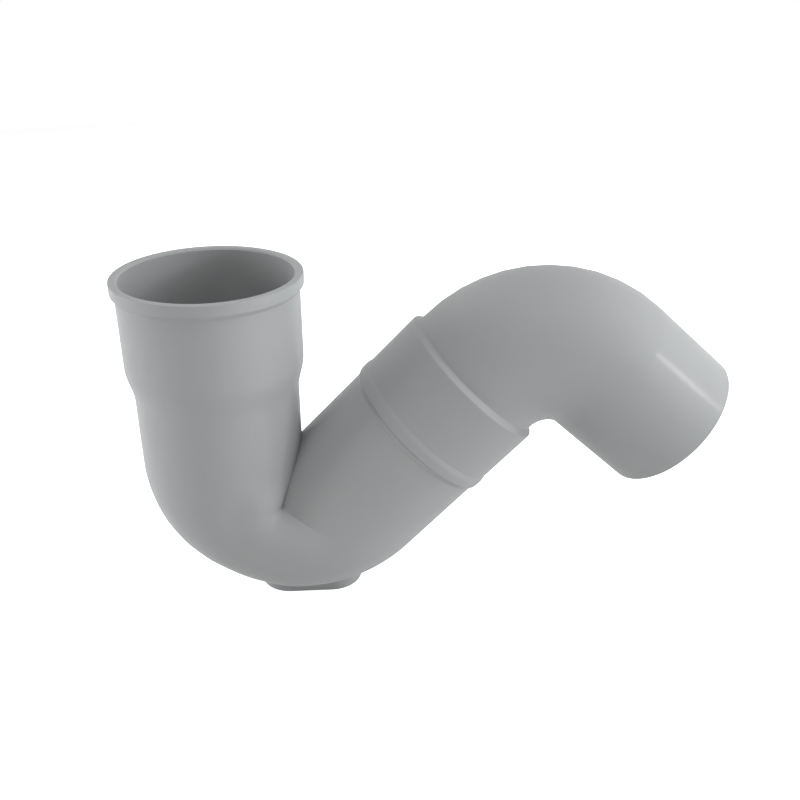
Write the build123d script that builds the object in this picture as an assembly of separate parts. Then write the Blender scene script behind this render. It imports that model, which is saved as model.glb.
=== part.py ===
from build123d import *
import math
import os

# Q trap for a 110 mm waste: a moulded body (socket, leg, U bend, rising arm) and a bend cemented to its arm.
# All sizes are in millimetres. The leg's axis is Z, and the arm and the outlet lie in the XZ plane, towards +X.
# The origin is on the leg's axis, at the shelf that stops the pipe in the inlet socket.

# Waste pipe of the arm's spigot and the outlet
pipe_r = 55.0
pipe_wall = 3.6
cement_gap = 0.15

# Inlet socket
inlet_bore_r = 58.8
inlet_depth = 64.0
inlet_socket_wall = 3.2
inlet_bead_rise = 3.0
inlet_bead_flat = 7.8
inlet_bead_slope = 3.2
inlet_lead_in = 1.4
inlet_shelf = 5.1
inlet_shoulder_drop = 2.5
inlet_shoulder_len = 13.5

# Leg, U bend and arm
body_wall = 3.8
leg_len = 66.2
bend_outline_r = 114.6
arm_step = 3.4
arm_angle = 46.1
arm_len = 67.2

# Throat of the U bend, inside the crotch between leg and arm
throat_half_width = 38.0
throat_core_r = 0.5
tongue_thickness = 5.0
tongue_half_width = 37.4
bend_steps = 12

# Spigot that the arm ends in
spigot_neck = 9.0
spigot_seat_gap = 0.4
arm_edge_gap = 0.8

# Socket of the outlet bend
outlet_socket_wall = 4.05
outlet_bead_rise = 1.0
outlet_bead_flat = 6.6
outlet_bead_slope = 3.6
outlet_socket_depth = 52.6
outlet_shoulder_drop = 2.5
outlet_shoulder_len = 3.4

# Outlet bend and its plain end
outlet_neck = 2.0
outlet_bend_angle = 88.0
outlet_bend_r = 66.0
outlet_len = 70.8
outlet_chamfer = 1.2

# Foot under the U bend
foot_len = 77.5
foot_width = 46.0
foot_wall = 3.6
foot_offset = 2.9
foot_drop = 4.2
foot_rise = 14.0

# Roundings
rim_round = 0.8
ring_round = 1.6
shoulder_round = 5.0
soft_round = 1.4


def in_plane(angle):
    """Unit vector in the XZ plane, at an angle in degrees from +X towards +Z."""
    return Vector(math.cos(math.radians(angle)), 0, math.sin(math.radians(angle)))


# Radii that follow from the fits, the walls and the steps between neighbours
inlet_socket_r = inlet_bore_r + inlet_socket_wall
inlet_bead_r = inlet_socket_r + inlet_bead_rise
leg_r = inlet_bore_r - inlet_shelf + body_wall
arm_r = pipe_r + arm_step
outlet_socket_r = pipe_r + cement_gap + outlet_socket_wall
outlet_bead_r = outlet_socket_r + outlet_bead_rise

# Directions and stations along the water way
across = Vector(0, 1, 0)
leg_down = Vector(0, 0, -1)
leg_outward = Vector(-1, 0, 0)
arm_dir = in_plane(arm_angle)
arm_outward = in_plane(arm_angle - 90)
outlet_dir = in_plane(arm_angle - outlet_bend_angle)
crotch_dir = in_plane((90 + arm_angle) / 2)
inlet_mouth = Vector(0, 0, inlet_depth)
bend_centre = Vector(bend_outline_r - leg_r, 0, -leg_len)
arm_start = bend_centre + arm_outward * (bend_outline_r - arm_r)
socket_mouth = arm_start + arm_dir * arm_len
outlet_shoulder_end = outlet_socket_depth + outlet_shoulder_drop + outlet_shoulder_len
bend_start = socket_mouth + arm_dir * (outlet_shoulder_end + outlet_neck)
outlet_centre = bend_start + arm_outward * outlet_bend_r
bend_end = outlet_centre + outlet_dir.rotate(Axis.Y, -90) * outlet_bend_r
foot_centre = Vector(bend_centre.X + foot_offset, 0, bend_centre.Z - bend_outline_r - foot_drop)


def turned(origin, direction, points, roundings):
    """Solid turned about an axis from a profile of (along, radius) points, with some corners rounded."""
    plane = Plane(origin=origin, x_dir=direction, z_dir=direction.cross(across))
    with BuildSketch(plane) as profile:
        with BuildLine():
            Polyline(points, close=True)
        make_face()
        for corner, rounding in roundings:
            fillet(profile.vertices().sort_by_distance(Vector(*corner, 0))[0], rounding)
    return revolve(profile.sketch, Axis(origin, direction), 360)


def rod(start, direction, radius, length):
    """Plain cylinder from a point along a direction."""
    return extrude(Plane(origin=start, z_dir=direction) * Circle(radius), length)


def throat_axis(half_width, leg_radius, arm_radius):
    """Point of the XZ plane beside which leg and arm walls are both half_width away, on the crotch side."""
    from_leg = math.sqrt(leg_radius**2 - half_width**2)
    from_arm = math.sqrt(arm_radius**2 - half_width**2)
    beside_arm = arm_start - arm_outward * from_arm
    return beside_arm + arm_dir * ((from_leg - beside_arm.X) / arm_dir.X)


def bend_limits(throat, outline_radius):
    """Angles in degrees, seen from the throat, at which the round outline leaves the leg and meets the arm."""
    to_leg = bend_centre + leg_outward * outline_radius - throat
    to_arm = bend_centre + arm_outward * outline_radius - throat
    return math.degrees(math.atan2(to_leg.Z, to_leg.X)), 360 + math.degrees(math.atan2(to_arm.Z, to_arm.X))


def bend_section(throat, angle, half_width, side, edge, outline_radius):
    """Section of the U bend through the throat axis: the outer part of an ellipse, cut off at edge from the axis."""
    ray = in_plane(angle)
    offset = throat - bend_centre
    half = offset.dot(ray)
    reach = math.sqrt(half**2 - offset.dot(offset) + outline_radius**2) - half
    ratio = math.sqrt(1 - (half_width / side) ** 2)
    depth = reach / (1 + ratio)
    centre = depth * ratio
    end_angle = math.degrees(math.acos((edge - centre) / depth))
    with BuildSketch(Plane(origin=throat, x_dir=ray, z_dir=ray.cross(across))) as section:
        with BuildLine():
            wall_line = EllipticalCenterArc((centre, 0), depth, side, -end_angle, arc_size=2 * end_angle)
            Line(wall_line @ 1, wall_line @ 0)
        make_face()
    return section.sketch.face()


def u_bend(throat, half_width, edge, leg_radius, arm_radius, outline_radius):
    """Round part of the U bend, lofted through sections that fan out about the throat axis from leg to arm."""
    start, end = bend_limits(throat, outline_radius)
    sections = []
    for step in range(bend_steps + 1):
        turn = step / bend_steps
        angle = start + (end - start) * turn
        side = leg_radius + (arm_radius - leg_radius) * turn
        sections.append(bend_section(throat, angle, half_width, side, edge, outline_radius))
    return loft(sections)


def bend_ends(throat, outline_radius):
    """Planes through the throat axis at which the U bend takes over from the leg and from the arm."""
    start, end = bend_limits(throat, outline_radius)
    leg_end = Plane(origin=throat, z_dir=across.cross(in_plane(start)))
    arm_end = Plane(origin=throat, z_dir=in_plane(end).cross(across))
    return leg_end, arm_end


def body_outside():
    """Outer form of the trap's body, with no hollow."""
    throat = throat_axis(throat_half_width, leg_r, arm_r)
    leg_end, arm_end = bend_ends(throat, bend_outline_r)
    below = leg_len + bend_outline_r
    shoulder = inlet_depth + inlet_shoulder_drop
    bead_end = inlet_bead_flat + inlet_bead_slope
    leg = turned(
        inlet_mouth,
        leg_down,
        [
            (0, 0),
            (0, inlet_bead_r),
            (inlet_bead_flat, inlet_bead_r),
            (bead_end, inlet_socket_r),
            (shoulder, inlet_socket_r),
            (shoulder + inlet_shoulder_len, leg_r),
            (inlet_depth + below, leg_r),
            (inlet_depth + below, 0),
        ],
        [
            ((0, inlet_bead_r), rim_round),
            ((inlet_bead_flat, inlet_bead_r), ring_round),
            ((bead_end, inlet_socket_r), ring_round),
            ((shoulder, inlet_socket_r), shoulder_round),
            ((shoulder + inlet_shoulder_len, leg_r), shoulder_round),
        ],
    )
    arm_back = arm_start - arm_dir * below
    arm = rod(arm_back, arm_dir, arm_r, below + arm_len - arm_edge_gap)
    arm_edge = arm.edges().filter_by(GeomType.CIRCLE).sort_by(Axis(arm_back, arm_dir))[-1]
    arm = fillet(arm_edge, rim_round)
    arm += rod(arm_back, arm_dir, pipe_r, below + arm_len + outlet_socket_depth - spigot_seat_gap)
    limbs = split(leg, leg_end, keep=Keep.TOP) + split(arm, arm_end, keep=Keep.TOP)
    bowl = u_bend(throat, throat_half_width, throat_core_r / 2, leg_r, arm_r, bend_outline_r)
    core = rod(throat - across * throat_half_width, across, throat_core_r, 2 * throat_half_width)
    return limbs + bowl + core


def body_hollow():
    """Water way through the trap's body, divided by the tongue between leg and arm."""
    leg_bore_r = leg_r - body_wall
    arm_bore_r = arm_r - body_wall
    spigot_bore_r = pipe_r - pipe_wall
    throat = throat_axis(tongue_half_width, leg_bore_r, arm_bore_r)
    outline_radius = bend_outline_r - body_wall
    leg_end, arm_end = bend_ends(throat, outline_radius)
    start, end = bend_limits(throat, outline_radius)
    half_tongue = tongue_thickness / 2
    arm_side_normal = across.cross(crotch_dir)
    leg_side = Plane(origin=throat + in_plane(start) * half_tongue, z_dir=-arm_side_normal)
    arm_side = Plane(origin=throat + in_plane(end) * half_tongue, z_dir=arm_side_normal)
    below = leg_len + bend_outline_r
    leg = rod(Vector(0, 0, 0), leg_down, leg_bore_r, below)
    arm_back = arm_start - arm_dir * below
    neck = below + arm_len - spigot_neck
    arm = rod(arm_back, arm_dir, arm_bore_r, neck)
    arm += turned(
        arm_back,
        arm_dir,
        [
            (neck, 0),
            (neck, arm_bore_r),
            (neck + spigot_neck - body_wall, spigot_bore_r),
            (neck + spigot_neck + outlet_socket_depth, spigot_bore_r),
            (neck + spigot_neck + outlet_socket_depth, 0),
        ],
        [],
    )
    leg = split(split(leg, leg_end, keep=Keep.TOP), leg_side, keep=Keep.TOP)
    arm = split(split(arm, arm_end, keep=Keep.TOP), arm_side, keep=Keep.TOP)
    bowl = u_bend(throat, tongue_half_width, half_tongue, leg_bore_r, arm_bore_r, outline_radius)
    socket = turned(
        inlet_mouth,
        leg_down,
        [
            (0, 0),
            (0, inlet_bore_r + inlet_lead_in),
            (inlet_lead_in, inlet_bore_r),
            (inlet_depth, inlet_bore_r),
            (inlet_depth, 0),
        ],
        [],
    )
    return leg + bowl + arm + socket


def foot():
    """Ring of wall under the U bend that the trap stands on while it is set."""
    inside = SlotOverall(foot_len - 2 * foot_wall, foot_width - 2 * foot_wall)
    return extrude(Plane(origin=foot_centre) * (SlotOverall(foot_len, foot_width) - inside), foot_rise)


def trap_body():
    """One moulding: inlet socket, leg, U bend, arm with its spigot, and foot."""
    return body_outside() + foot() - body_hollow()


def outlet_bend():
    """Second moulding: a socket over the arm's spigot, a bend and a plain outlet end."""
    bore_r = pipe_r - pipe_wall
    shoulder = outlet_socket_depth + outlet_shoulder_drop
    bead_end = outlet_bead_flat + outlet_bead_slope
    straight = outlet_shoulder_end + outlet_neck
    socket = turned(
        socket_mouth,
        arm_dir,
        [
            (0, 0),
            (0, outlet_bead_r),
            (outlet_bead_flat, outlet_bead_r),
            (bead_end, outlet_socket_r),
            (shoulder, outlet_socket_r),
            (outlet_shoulder_end, pipe_r),
            (straight, pipe_r),
            (straight, 0),
        ],
        [
            ((0, outlet_bead_r), rim_round),
            ((outlet_bead_flat, outlet_bead_r), ring_round),
            ((shoulder, outlet_socket_r), soft_round),
            ((outlet_shoulder_end, pipe_r), soft_round),
        ],
    )
    turn_axis = Axis(outlet_centre, across)
    start_plane = Plane(origin=bend_start, z_dir=arm_dir)
    bend = revolve(start_plane * Circle(pipe_r), turn_axis, outlet_bend_angle)
    bend_bore = revolve(start_plane * Circle(bore_r), turn_axis, outlet_bend_angle)
    end = turned(
        bend_end,
        outlet_dir,
        [
            (0, 0),
            (0, pipe_r),
            (outlet_len - outlet_chamfer, pipe_r),
            (outlet_len, pipe_r - outlet_chamfer),
            (outlet_len, 0),
        ],
        [],
    )
    socket_bore = rod(socket_mouth, arm_dir, pipe_r + cement_gap, outlet_socket_depth)
    neck_bore = rod(socket_mouth, arm_dir, bore_r, straight)
    end_bore = rod(bend_end, outlet_dir, bore_r, outlet_len)
    return socket + bend + end - (socket_bore + neck_bore + bend_bore + end_bore)


os.makedirs("parts", exist_ok=True)
export_step(trap_body(), "parts/trap_body.step")
export_step(outlet_bend(), "parts/outlet_bend.step")
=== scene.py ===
import bpy
import math
from mathutils import Matrix, Vector


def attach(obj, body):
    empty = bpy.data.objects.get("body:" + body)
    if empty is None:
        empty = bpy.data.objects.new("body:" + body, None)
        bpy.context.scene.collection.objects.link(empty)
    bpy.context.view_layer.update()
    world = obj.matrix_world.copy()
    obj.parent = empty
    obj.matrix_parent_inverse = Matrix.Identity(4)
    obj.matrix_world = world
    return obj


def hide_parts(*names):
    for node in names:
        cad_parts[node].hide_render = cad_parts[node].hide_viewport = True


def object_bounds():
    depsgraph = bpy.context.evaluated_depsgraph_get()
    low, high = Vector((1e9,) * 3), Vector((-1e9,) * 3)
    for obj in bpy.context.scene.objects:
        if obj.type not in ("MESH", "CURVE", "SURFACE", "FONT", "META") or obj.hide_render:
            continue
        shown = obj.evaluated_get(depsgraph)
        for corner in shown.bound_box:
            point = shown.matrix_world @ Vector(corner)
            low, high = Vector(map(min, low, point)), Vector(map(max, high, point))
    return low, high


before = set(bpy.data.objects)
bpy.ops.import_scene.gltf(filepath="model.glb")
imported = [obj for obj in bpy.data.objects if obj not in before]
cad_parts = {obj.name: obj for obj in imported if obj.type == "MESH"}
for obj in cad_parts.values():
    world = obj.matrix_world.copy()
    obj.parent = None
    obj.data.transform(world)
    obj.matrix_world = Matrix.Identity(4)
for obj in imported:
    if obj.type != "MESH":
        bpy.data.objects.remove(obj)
cadLow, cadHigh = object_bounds()
print("frame loaded:", ", ".join(sorted(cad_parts)))


# Shader maths: one socket of a node tree, with the operators that the materials use
class Wire:
    def __init__(self, tree, socket=None):
        self.tree = tree
        self.socket = socket

    def node(self, kind, settings, sockets, output=0):
        made = self.tree.nodes.new(kind)
        for name, value in settings.items():
            setattr(made, name, value)
        for name, value in sockets.items():
            if isinstance(value, Wire):
                self.tree.links.new(value.socket, made.inputs[name])
            else:
                made.inputs[name].default_value = value
        return Wire(self.tree, made.outputs[output] if len(made.outputs) else None)

    def maths(self, operation, first, second=0.0):
        return self.node("ShaderNodeMath", {"operation": operation}, {0: first, 1: second})

    def __add__(self, other):
        return self.maths("ADD", self, other)

    def __mul__(self, other):
        return self.maths("MULTIPLY", self, other)

    def noise(self, place, scale, detail):
        return self.node("ShaderNodeTexNoise", {}, {"Vector": place, "Scale": scale, "Detail": detail})

    def seenDirectly(self):
        # 1 where the camera, a gloss or a clear material looks, 0 where light is gathered
        looks = [
            self.node("ShaderNodeLightPath", {}, {}, ray)
            for ray in ("Is Camera Ray", "Is Glossy Ray", "Is Transmission Ray")
        ]
        return self.maths("MINIMUM", looks[0] + looks[1] + looks[2], 1.0)

    def between(self, low, high, toLow, toHigh):
        sockets = {"Value": self, "From Min": low, "From Max": high, "To Min": toLow, "To Max": toHigh}
        return self.node("ShaderNodeMapRange", {"interpolation_type": "SMOOTHSTEP"}, sockets)

    def colours(self, first, second):
        # sockets 0, 6 and 7 are the factor and the two colours, output 2 the mixed colour
        return self.node("ShaderNodeMix", {"data_type": "RGBA"}, {0: self, 6: first, 7: second}, 2)


def newMaterial(name):
    material = bpy.data.materials.new(name)
    material.use_nodes = True
    material.node_tree.nodes.clear()
    return material, Wire(material.node_tree)


# Moulded grey uPVC, the same on every piece
greyPlastic = {
    "paleColour": (0.362, 0.371, 0.375, 1),
    "deepColour": (0.350, 0.359, 0.363, 1),
    # scale per metre and detail of each noise
    "flow": (9.0, 3.0),  # cloudy marks of the flow in the mould
    "speck": (900.0, 2.0),
    "patches": (34.0, 4.0),  # of duller and shinier plastic
    "grain": (1500.0, 3.0),  # fine texture of the mould's face
    "wave": (38.0, 1.0),  # slow unevenness of the face
    "broadSpan": (0.3, 0.7),  # part of a noise's range that is drawn out to the whole
    "speckSpan": (0.35, 0.65),
    "flowShare": 0.85,  # of the way from the deep colour to the pale one
    "speckShare": 0.15,
    "roughness": (0.42, 0.5),  # of the plastic under its skin
    "shine": 0.2,  # weight of the moulded skin's gloss
    "shineRoughness": 0.22,
    "shineIor": 1.53,
    "grainHeight": 0.000006,  # metres
    "waveHeight": 0.00004,
}


def plasticMaterial(name, shift):
    material, wire = newMaterial(name)
    place = wire.node("ShaderNodeTexCoord", {}, {}, "Object")
    moved = wire.node("ShaderNodeMapping", {}, {"Vector": place, "Location": shift})
    flow, speck, patches, grain, wave = (
        wire.noise(moved, *greyPlastic[name]) for name in ("flow", "speck", "patches", "grain", "wave")
    )
    cloudy = flow.between(*greyPlastic["broadSpan"], 0.0, greyPlastic["flowShare"])
    tone = cloudy + speck.between(*greyPlastic["speckSpan"], 0.0, greyPlastic["speckShare"])
    colour = tone.colours(greyPlastic["deepColour"], greyPlastic["paleColour"])
    rough = patches.between(*greyPlastic["broadSpan"], *greyPlastic["roughness"])
    height = grain * greyPlastic["grainHeight"] + wave * greyPlastic["waveHeight"]
    relief = wire.node("ShaderNodeBump", {}, {"Height": height, "Strength": 1.0, "Distance": 1.0})
    shader = wire.node(
        "ShaderNodeBsdfPrincipled",
        {},
        {
            "Base Color": colour,
            "Roughness": rough,
            "Specular IOR Level": 0.0,
            "Coat Weight": greyPlastic["shine"],
            "Coat Roughness": greyPlastic["shineRoughness"],
            "Coat IOR": greyPlastic["shineIor"],
            "Normal": relief,
        },
    )
    wire.node("ShaderNodeOutputMaterial", {}, {"Surface": shader})
    return material


# The trap's moulding with the soft forms of the real one, in millimetres: a long easy shoulder under
# the inlet socket, the full cheeks of the bend, which end against the arm in a short ledge, and a
# slight swelling and flat of the bend's outer side
trapShell = {
    "socketRadius": 62.0,
    "legRadius": 57.5,
    "shoulderTop": 3.0,
    "shoulderFoot": -21.5,
    "shoulderSpan": (-23.0, 7.0),  # heights between which the outer wall is reshaped
    "shoulderWall": (60.0, 56.5, 64.0),  # its least radius above and below the shelf, and its greatest
    "shelfHeight": -1.0,
    "legSpan": (-70.0, 64.0),
    "shoulderRows": [6, 4.5, 3, 1.5, 0, -1.5, -3, -5, -7, -9, -11, -13, -15, -17, -19, -21.5],
    "creaseTop": (50.4, -80.0),  # x and z on the crease where the cheeks start
    "throat": (43.1, -98.0),  # x and z where the crease ends
    "ledgeAngle": -25.0,  # degrees from the level
    "ledgeLength": 42.0,
    "cheekWidth": 36.0,
    "cheekHeight": 5.5,
    "cheekRise": 0.8,  # power with which a cheek rises from the crease, less is steeper
    "cheekScale": 5.34,  # brings the highest point of that form to 1
    "cheekLean": 0.4,  # share of the wall's own direction in the way a cheek stands out
    "cheekLeastSide": 30.0,  # nearest that a cheek comes to the middle plane
    "gridStep": 2.5,
    "gridDown": (-12, 13),  # first and last row of cuts beside the ledge
    "gridAlong": (-12, 17),
    "gridReach": 60.0,
    "bendCentre": (57.1, -66.2),  # x and z
    "bendRadius": 114.6,
    "bendFloor": -180.9,  # the foot stands lower and keeps its shape
    "mergeWithin": 0.000001,  # metres
    "smoothAngle": 32.0,  # degrees, sharper edges stay sharp
    "reliefStart": 0.4,  # share of the bend's radius where its relief begins
    "reliefBlend": 0.45,
    # angle round the bend in degrees and how far its outer side lies out or in
    "bendRelief": [
        (180, 0.0),
        (192, 0.6),
        (204, 1.0),
        (216, 0.6),
        (225, -0.3),
        (237, -1.4),
        (250, -1.2),
        (262, 0.0),
    ],
}


def cutRow(body, point, normal, keep):
    # cuts only the faces that keep() picks by their middle
    bpy.ops.mesh.select_all(action="DESELECT")
    bpy.ops.object.mode_set(mode="OBJECT")
    for face in body.data.polygons:
        face.select = keep(face.center * 1000)
    bpy.ops.object.mode_set(mode="EDIT")
    bpy.ops.mesh.bisect(plane_co=[value / 1000 for value in point], plane_no=normal)


def ease(value):
    value = min(max(value, 0.0), 1.0)
    return value * value * (3 - 2 * value)


def cheekLift(place):
    # how far the cheek stands out at a place seen from the side
    throat = Vector(trapShell["throat"])
    angle = math.radians(trapShell["ledgeAngle"])
    along = Vector((math.cos(angle), math.sin(angle)))
    up = Vector(trapShell["creaseTop"]) - throat
    here = Vector((place.x, place.z)) - throat
    onLedge = min(max(here.dot(along), 0.0), trapShell["ledgeLength"])
    onCrease = min(max(here.dot(up.normalized()), 0.0), up.length)
    fromLedge = (here - along * onLedge).length
    fromCrease = (here - up.normalized() * onCrease).length
    if fromLedge <= fromCrease:
        away, full = fromLedge, 1 - ease(onLedge / trapShell["ledgeLength"])
        outside = onLedge > 0 and along.cross(here) > 0
    else:
        away, full = fromCrease, 1 - ease(onCrease / up.length)
        outside = onCrease > 0 and up.cross(here) < 0
    part = min(away / trapShell["cheekWidth"], 1.0)
    if outside:
        return 0.0
    form = trapShell["cheekHeight"] * full * trapShell["cheekScale"] * part ** trapShell["cheekRise"]
    return form * (1 - part) ** 2


def bendMove(place):
    # how far the bend's wall moves out or in at a place seen from the side, nothing at the throat
    across = Vector((place.x, place.z)) - Vector(trapShell["bendCentre"])
    turn = math.degrees(math.atan2(across.y, across.x)) % 360
    move = 0.0
    for (low, atLow), (high, atHigh) in zip(trapShell["bendRelief"], trapShell["bendRelief"][1:]):
        if low <= turn < high:
            move = atLow + (atHigh - atLow) * ease((turn - low) / (high - low))
    share = ease((across.length / trapShell["bendRadius"] - trapShell["reliefStart"]) / trapShell["reliefBlend"])
    return across.normalized() * move * share


def onShoulderWall(place):
    aboveShelf, belowShelf, greatest = trapShell["shoulderWall"]
    least = aboveShelf if place.z > trapShell["shelfHeight"] else belowShelf
    return least < math.hypot(place.x, place.y) < greatest


def makeTrapShell(node):
    body = node.copy()
    body.data = node.data.copy()
    body.name = "trapShell"
    bpy.context.scene.collection.objects.link(body)
    bpy.ops.object.select_all(action="DESELECT")
    body.select_set(True)
    bpy.context.view_layer.objects.active = body
    bpy.ops.mesh.customdata_custom_splitnormals_clear()
    bpy.ops.object.mode_set(mode="EDIT")
    bpy.ops.mesh.select_all(action="SELECT")
    bpy.ops.mesh.remove_doubles(threshold=trapShell["mergeWithin"])

    def nearShoulder(middle):
        low, high = trapShell["legSpan"]
        return low < middle.z < high and onShoulderWall(middle)

    for height in trapShell["shoulderRows"]:
        cutRow(body, (0, 0, height), (0, 0, 1), nearShoulder)

    angle = math.radians(trapShell["ledgeAngle"])
    along = Vector((math.cos(angle), 0, math.sin(angle)))
    down = Vector((math.sin(angle), 0, -math.cos(angle)))
    throat = Vector((trapShell["throat"][0], 0, trapShell["throat"][1]))

    def nearThroat(middle):
        away = (Vector((middle.x, 0, middle.z)) - throat).length
        return abs(middle.y) > trapShell["cheekLeastSide"] and away < trapShell["gridReach"]

    for step in range(*trapShell["gridDown"]):
        point = throat + down * step * trapShell["gridStep"]
        cutRow(body, point, down, nearThroat)
    for step in range(*trapShell["gridAlong"]):
        point = throat + along * step * trapShell["gridStep"]
        cutRow(body, point, along, nearThroat)
    bpy.ops.object.mode_set(mode="OBJECT")

    drop = trapShell["socketRadius"] - trapShell["legRadius"]
    reach = trapShell["shoulderTop"] - trapShell["shoulderFoot"]
    shoulderLow, shoulderHigh = trapShell["shoulderSpan"]
    outward = [vertex.normal.copy() for vertex in body.data.vertices]
    for vertex, normal in zip(body.data.vertices, outward):
        place = vertex.co * 1000
        if shoulderLow < place.z < shoulderHigh and onShoulderWall(place):
            around = math.hypot(place.x, place.y)
            wanted = trapShell["socketRadius"] - drop * ease((trapShell["shoulderTop"] - place.z) / reach)
            vertex.co.x *= wanted / around
            vertex.co.y *= wanted / around
            continue
        if abs(place.y) > trapShell["cheekLeastSide"] and normal.y * place.y > 0:
            lean = trapShell["cheekLean"]
            side = Vector((normal.x * lean, math.copysign(1, place.y), normal.z * lean))
            vertex.co += side.normalized() * cheekLift(place) / 1000
        if trapShell["bendFloor"] < place.z < trapShell["bendCentre"][1]:
            relief = bendMove(place) / 1000
            vertex.co += Vector((relief.x, 0, relief.y))
    bpy.ops.object.shade_smooth_by_angle(angle=math.radians(trapShell["smoothAngle"]))
    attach(body, "root")
    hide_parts("trap_body")
    return body


shell = makeTrapShell(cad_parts["trap_body"])
print("trap shell shaped:", len(shell.data.polygons), "faces")


# Bead of set cement that fills the joint between the arm's end and the bend's socket
cementBead = {
    "centre": (0.14419, 0.0, -0.05675),  # metres, the middle of the socket's mouth
    "direction": (0.6934, 0.0, 0.7206),
    # radius and distance from the mouth of each point of its section, in millimetres
    "section": [
        (55.3, -0.05),
        (59.7, -0.05),
        (59.5, -0.5),
        (59.1, -1.1),
        (58.75, -1.9),
        (58.55, -2.8),
        (58.45, -3.0),
        (58.45, -0.76),
        (55.3, -0.76),
    ],
    "steps": 160,
    "mergeWithin": 0.000005,  # metres
    "smoothAngle": 40.0,  # degrees
}


def makeCementBead():
    axis = Vector(cementBead["direction"]).normalized()
    radial = Vector((-axis.z, 0, axis.x))
    middle = Vector(cementBead["centre"])
    bpy.ops.object.select_all(action="DESELECT")
    # a small ring with one vertex for each point of the section, which are then put in their places
    bpy.ops.mesh.primitive_circle_add(vertices=len(cementBead["section"]), radius=0.001)
    bead = bpy.context.object
    bead.name = "cementBead"
    for vertex, (around, along) in zip(bead.data.vertices, cementBead["section"]):
        vertex.co = middle + radial * around / 1000 + axis * along / 1000
    bpy.ops.object.mode_set(mode="EDIT")
    bpy.ops.mesh.select_all(action="SELECT")
    bpy.ops.mesh.spin(steps=cementBead["steps"], angle=math.tau, center=middle, axis=axis)
    bpy.ops.mesh.select_all(action="SELECT")
    bpy.ops.mesh.remove_doubles(threshold=cementBead["mergeWithin"])
    bpy.ops.mesh.normals_make_consistent(inside=False)
    bpy.ops.object.mode_set(mode="OBJECT")
    bpy.ops.object.shade_smooth_by_angle(angle=math.radians(cementBead["smoothAngle"]))
    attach(bead, "root")
    return bead


bead = makeCementBead()
print("cement bead laid:", len(bead.data.polygons), "faces")

for piece, shift in (
    (shell, (0, 0, 0)),
    (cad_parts["trap_body"], (0, 0, 0)),
    (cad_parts["outlet_bend"], (0.31, 0.17, 0.05)),
    (bead, (0, 0, 0)),
):
    piece.data.materials.clear()
    piece.data.materials.append(plasticMaterial("greyPlastic_" + piece.name, shift))
print("plastic on every piece")


# Floor under the foot, white to the camera, with the object's shadow on it
floor = {
    "radius": 2.2,  # metres
    "corners": 96,
    "colour": (0.80, 0.80, 0.80, 1),
    "glow": 0.88,
}


def floorMaterial():
    material, wire = newMaterial("paleFloor")
    direct = wire.seenDirectly()
    paint = wire.node("ShaderNodeBsdfDiffuse", {}, {"Color": floor["colour"]})
    light = wire.node("ShaderNodeEmission", {}, {"Color": (1, 1, 1, 1), "Strength": direct * floor["glow"]})
    both = wire.node("ShaderNodeAddShader", {}, {0: paint, 1: light})
    wire.node("ShaderNodeOutputMaterial", {}, {"Surface": both})
    return material


bpy.ops.object.select_all(action="DESELECT")
bpy.ops.mesh.primitive_circle_add(
    vertices=floor["corners"], radius=floor["radius"], fill_type="NGON", location=(0, 0, cadLow.z)
)
floorObject = bpy.context.object
floorObject.name = "studioFloor"
floorObject.data.materials.append(floorMaterial())
print("floor laid")


# Soft lamps round the trap: azimuth and elevation in degrees (0 is the camera's side, 90 the outlet's),
# the width of the panel in metres and its power in watts. Only the small one called streak shows in the
# plastic's gloss, as the line of light along the outlet
lamps = {
    "outletSide": {"azimuth": 60, "elevation": 8, "width": 0.8, "power": 8.8, "gloss": False},
    "outletEnd": {"azimuth": 90, "elevation": 8, "width": 0.8, "power": 9.8, "gloss": False},
    "outletBack": {"azimuth": 150, "elevation": 8, "width": 0.8, "power": 9.6, "gloss": False},
    "socketBack": {"azimuth": 240, "elevation": 8, "width": 0.8, "power": 6.7, "gloss": False},
    "socketSide": {"azimuth": 270, "elevation": 8, "width": 0.8, "power": 13.2, "gloss": False},
    "socketFront": {"azimuth": 330, "elevation": 8, "width": 0.8, "power": 2.4, "gloss": False},
    "highOutlet": {"azimuth": 90, "elevation": 35, "width": 0.9, "power": 8.5, "gloss": False},
    "highBack": {"azimuth": 225, "elevation": 35, "width": 0.9, "power": 4.2, "gloss": False},
    "highSocket": {"azimuth": 270, "elevation": 35, "width": 0.9, "power": 1.1, "gloss": False},
    "highFront": {"azimuth": 315, "elevation": 35, "width": 0.9, "power": 1.8, "gloss": False},
    "topFront": {"azimuth": 0, "elevation": 62, "width": 1.0, "power": 6.5, "gloss": False},
    "topBack": {"azimuth": 180, "elevation": 62, "width": 1.0, "power": 3.0, "gloss": False},
    "top": {"azimuth": 0, "elevation": 90, "width": 1.0, "power": 3.9, "gloss": False},
    "streak": {"azimuth": 73.5, "elevation": 15, "width": 0.1, "power": 2.5, "gloss": True},
}
lampRing = {"aim": (0.15, 0.0, -0.05), "distance": 1.6}


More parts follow.
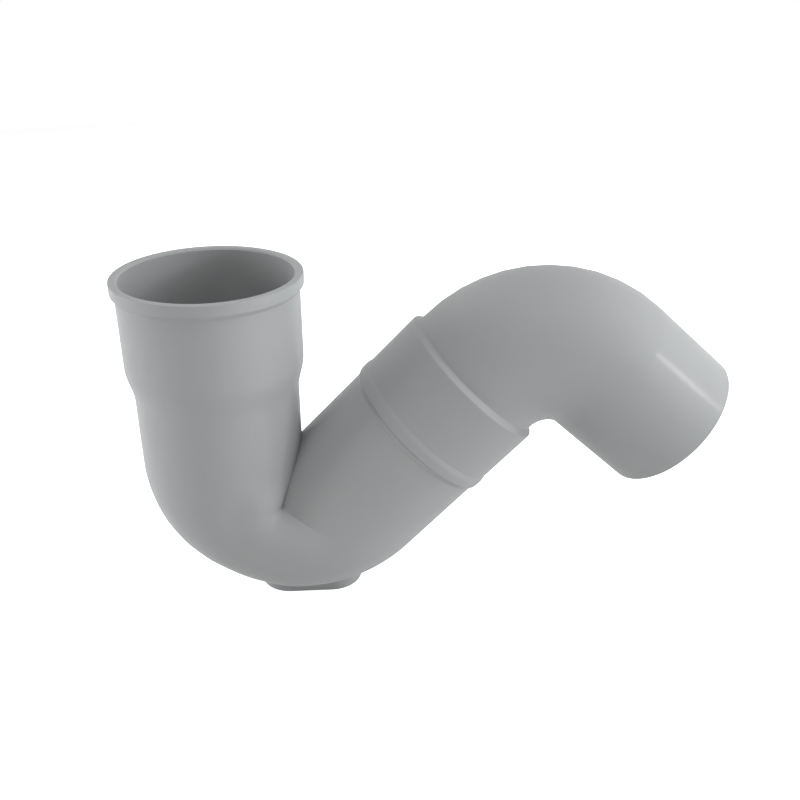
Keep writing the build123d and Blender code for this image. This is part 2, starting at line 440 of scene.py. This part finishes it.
def addLamp(name, settings):
    azimuth, elevation = math.radians(settings["azimuth"]), math.radians(settings["elevation"])
    away = Vector(
        (
            math.sin(azimuth) * math.cos(elevation),
            -math.cos(azimuth) * math.cos(elevation),
            math.sin(elevation),
        )
    )
    lamp = bpy.data.lights.new(name, "AREA")
    lamp.shape = "SQUARE"
    lamp.size = settings["width"]
    lamp.energy = settings["power"]
    holder = bpy.data.objects.new(name, lamp)
    holder.location = Vector(lampRing["aim"]) + away * lampRing["distance"]
    holder.rotation_euler = (-away).to_track_quat("-Z", "Y").to_euler()
    holder.visible_glossy = settings["gloss"]
    bpy.context.scene.collection.objects.link(holder)


for name, settings in lamps.items():
    addLamp(name, settings)


# Room: white where the camera or a gloss looks at it, the light itself comes from the lamps
room = {"softLight": 0.0, "seen": 1.0}  # strength for gathered light and for what is seen


def lightRoom():
    world = bpy.data.worlds.new("room")
    bpy.context.scene.world = world
    world.use_nodes = True
    world.node_tree.nodes.clear()
    wire = Wire(world.node_tree)
    direct = wire.seenDirectly()
    strength = direct * (room["seen"] - room["softLight"]) + room["softLight"]
    light = wire.node("ShaderNodeBackground", {}, {"Color": (1, 1, 1, 1), "Strength": strength})
    wire.node("ShaderNodeOutputWorld", {}, {"Surface": light})


lightRoom()
print("lamps and room set")


# Camera at the photograph's angle
photoCamera = {
    "place": (0.09424, -0.60995, 0.26188),  # metres
    "azimuth": -3.35,  # degrees, 0 looks along +Y
    "elevation": 25.93,
    "roll": -0.23,
    "lens": 42.05,  # mm
    "sensor": 36,
    "clipStart": 0.02,  # metres
}


def addCamera():
    camera = bpy.data.cameras.new("photoCamera")
    camera.lens = photoCamera["lens"]
    camera.sensor_width = photoCamera["sensor"]
    camera.clip_start = photoCamera["clipStart"]
    holder = bpy.data.objects.new("photoCamera", camera)
    holder.matrix_world = (
        Matrix.Translation(photoCamera["place"])
        @ Matrix.Rotation(math.radians(photoCamera["azimuth"]), 4, "Z")
        @ Matrix.Rotation(math.radians(90 - photoCamera["elevation"]), 4, "X")
        @ Matrix.Rotation(math.radians(photoCamera["roll"]), 4, "Z")
    )
    bpy.context.scene.collection.objects.link(holder)
    bpy.context.scene.camera = holder


addCamera()
bpy.context.scene.view_settings.view_transform = "Standard"
print("camera set")
